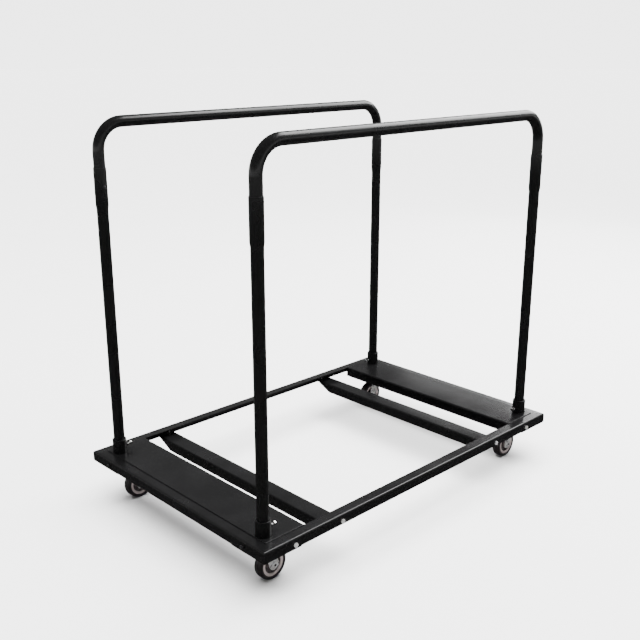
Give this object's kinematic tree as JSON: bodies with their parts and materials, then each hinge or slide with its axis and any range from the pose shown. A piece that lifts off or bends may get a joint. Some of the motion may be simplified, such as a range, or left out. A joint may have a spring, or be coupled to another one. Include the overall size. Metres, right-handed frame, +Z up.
{
  "type": "banquet table trolley",
  "caption": "Low black steel base on swivel casters with a tubular hoop along each long side and sunken cross bars that cradle round folding tables standing on edge.",
  "frame": {"origin": "centre of the base on the floor, under the wheels", "axes": "+X along the length of the base and of the hoops, +Y from the front hoop to the back hoop, +Z up"},
  "size_m": [1.4606, 0.9456, 1.346],
  "materials": {
    "black_coat": "satin black powder coat",
    "zinc": "bright zinc plating",
    "black_screw": "black oxide",
    "bearing_steel": "plain ground steel",
    "wheel_core": "matt moulded polypropylene",
    "wheel_tyre": "dark rubber with a maroon tint"
  },
  "bodies": {
    "frame": {"front_rail": "black_coat", "back_rail": "black_coat", "left_rail": "black_coat", "right_rail": "black_coat", "left_deck": "black_coat", "right_deck": "black_coat", "left_cradle_bar": "black_coat", "right_cradle_bar": "black_coat", "left_cradle_cleats": "black_coat", "right_cradle_cleats": "black_coat", "front_hoop": "black_coat", "back_hoop": "black_coat", "frame_bolts": "zinc", "cradle_bolts": "zinc", "socket_bolts": "zinc", "bolt_nuts": "zinc", "socket_nuts": "black_coat", "hoop_screws": "black_screw", "king_bolts": "zinc", "king_nuts": "zinc", "front_left_corner_bracket": "black_coat", "front_left_post_socket": "black_coat", "front_left_post": "black_coat", "front_left_caster_head": "zinc", "front_right_corner_bracket": "black_coat", "front_right_post_socket": "black_coat", "front_right_post": "black_coat", "front_right_caster_head": "zinc", "back_left_corner_bracket": "black_coat", "back_left_post_socket": "black_coat", "back_left_post": "black_coat", "back_left_caster_head": "zinc", "back_right_corner_bracket": "black_coat", "back_right_post_socket": "black_coat", "back_right_post": "black_coat", "back_right_caster_head": "zinc"},
    "front_left_caster": {"front_left_fork": "zinc", "front_left_swivel_balls": "bearing_steel", "front_left_axle": "zinc"},
    "front_left_wheel": {"front_left_wheel_sleeve": "bearing_steel", "front_left_wheel_core": "wheel_core", "front_left_wheel_tyre": "wheel_tyre"},
    "front_right_caster": {"front_right_fork": "zinc", "front_right_swivel_balls": "bearing_steel", "front_right_axle": "zinc"},
    "front_right_wheel": {"front_right_wheel_sleeve": "bearing_steel", "front_right_wheel_core": "wheel_core", "front_right_wheel_tyre": "wheel_tyre"},
    "back_left_caster": {"back_left_fork": "zinc", "back_left_swivel_balls": "bearing_steel", "back_left_axle": "zinc"},
    "back_left_wheel": {"back_left_wheel_sleeve": "bearing_steel", "back_left_wheel_core": "wheel_core", "back_left_wheel_tyre": "wheel_tyre"},
    "back_right_caster": {"back_right_fork": "zinc", "back_right_swivel_balls": "bearing_steel", "back_right_axle": "zinc"},
    "back_right_wheel": {"back_right_wheel_sleeve": "bearing_steel", "back_right_wheel_core": "wheel_core", "back_right_wheel_tyre": "wheel_tyre"}
  },
  "joints": [
    {"name": "front_left_swivel", "type": "hinge", "parent": "frame", "child": "front_left_caster", "pos_m": [-0.637, -0.3615, 0.125], "axis": [0, 0, 1], "continuous": true},
    {"name": "front_left_roll", "type": "hinge", "parent": "front_left_caster", "child": "front_left_wheel", "pos_m": [-0.613, -0.3615, 0.0525], "axis": [0, 1, 0], "continuous": true},
    {"name": "front_right_swivel", "type": "hinge", "parent": "frame", "child": "front_right_caster", "pos_m": [0.637, -0.3615, 0.125], "axis": [0, 0, 1], "continuous": true},
    {"name": "front_right_roll", "type": "hinge", "parent": "front_right_caster", "child": "front_right_wheel", "pos_m": [0.613, -0.3615, 0.0525], "axis": [0, 1, 0], "continuous": true},
    {"name": "back_left_swivel", "type": "hinge", "parent": "frame", "child": "back_left_caster", "pos_m": [-0.637, 0.3615, 0.125], "axis": [0, 0, 1], "continuous": true},
    {"name": "back_left_roll", "type": "hinge", "parent": "back_left_caster", "child": "back_left_wheel", "pos_m": [-0.613, 0.3615, 0.0525], "axis": [0, 1, 0], "continuous": true},
    {"name": "back_right_swivel", "type": "hinge", "parent": "frame", "child": "back_right_caster", "pos_m": [0.637, 0.3615, 0.125], "axis": [0, 0, 1], "continuous": true},
    {"name": "back_right_roll", "type": "hinge", "parent": "back_right_caster", "child": "back_right_wheel", "pos_m": [0.613, 0.3615, 0.0525], "axis": [0, 1, 0], "continuous": true}
  ]
}
